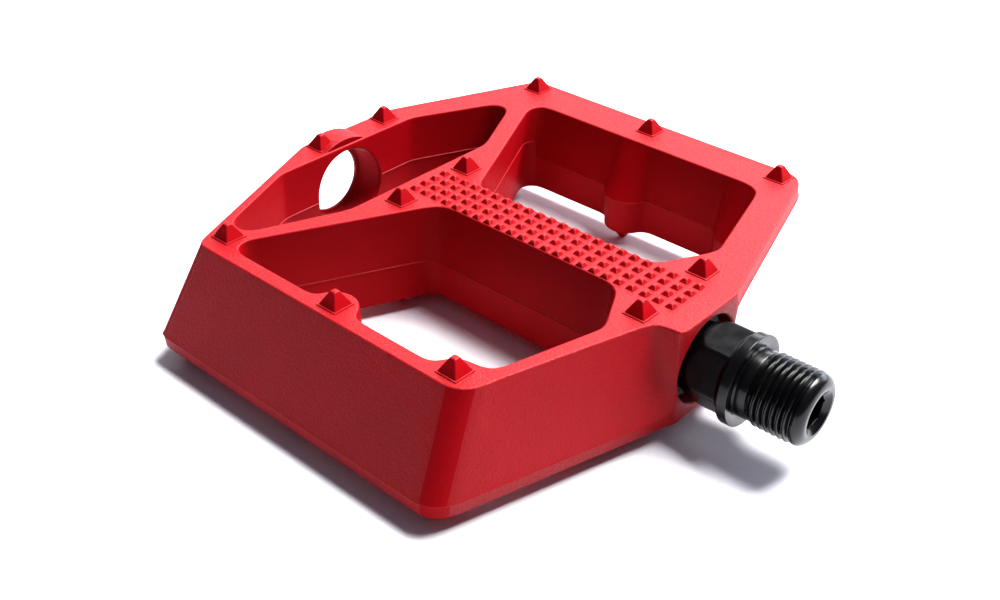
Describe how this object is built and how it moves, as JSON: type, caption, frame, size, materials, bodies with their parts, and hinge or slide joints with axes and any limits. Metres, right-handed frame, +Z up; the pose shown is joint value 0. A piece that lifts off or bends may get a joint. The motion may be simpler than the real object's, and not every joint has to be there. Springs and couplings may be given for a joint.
{
  "type": "flat pedal",
  "caption": "Left flat bicycle pedal: hexagonal moulded nylon platform with moulded pins and a knurled spine, on a threaded steel spindle with loose-ball bearings.",
  "frame": {"origin": "centre of the bounding box at rest, on the spindle axis", "axes": "+X along the spindle towards the crank arm, +Z up out of the upper platform face"},
  "size_m": [0.1274, 0.1154, 0.027],
  "materials": {
    "platform": "moulded glass-filled nylon, fine satin grain",
    "spindle": "black oxide, semi-gloss",
    "seal": "matte",
    "bearing": "ground and polished",
    "fastener": "zinc plated",
    "cap": "matte"
  },
  "bodies": {
    "platform": {"platform_body": "platform", "dust_seal": "seal", "inboard_cup": "bearing", "outboard_cup": "bearing", "dust_cap": "cap"},
    "spindle": {"spindle": "spindle", "inboard_race": "bearing", "adjusting_cone": "bearing", "lock_washer": "fastener", "lock_nut": "fastener"},
    "inboard_ball_train": {"inboard_ball_01": "bearing", "inboard_ball_02": "bearing", "inboard_ball_03": "bearing", "inboard_ball_04": "bearing", "inboard_ball_05": "bearing", "inboard_ball_06": "bearing", "inboard_ball_07": "bearing", "inboard_ball_08": "bearing", "inboard_ball_09": "bearing", "inboard_ball_10": "bearing", "inboard_ball_11": "bearing", "inboard_ball_12": "bearing"},
    "outboard_ball_train": {"outboard_ball_01": "bearing", "outboard_ball_02": "bearing", "outboard_ball_03": "bearing", "outboard_ball_04": "bearing", "outboard_ball_05": "bearing", "outboard_ball_06": "bearing", "outboard_ball_07": "bearing", "outboard_ball_08": "bearing", "outboard_ball_09": "bearing"}
  },
  "joints": [
    {"name": "spindle_spin", "type": "hinge", "parent": "platform", "child": "spindle", "pos_m": [0, 0, 0], "axis": [1, 0, 0], "continuous": true},
    {"name": "inboard_balls_roll", "type": "hinge", "parent": "platform", "child": "inboard_ball_train", "pos_m": [0, 0, 0], "axis": [1, 0, 0], "continuous": true},
    {"name": "outboard_balls_roll", "type": "hinge", "parent": "platform", "child": "outboard_ball_train", "pos_m": [0, 0, 0], "axis": [1, 0, 0], "continuous": true}
  ],
  "couplings": [
    {"joint": "inboard_balls_roll", "follows": "spindle_spin", "ratio": 0.376},
    {"joint": "outboard_balls_roll", "follows": "spindle_spin", "ratio": 0.356}
  ]
}
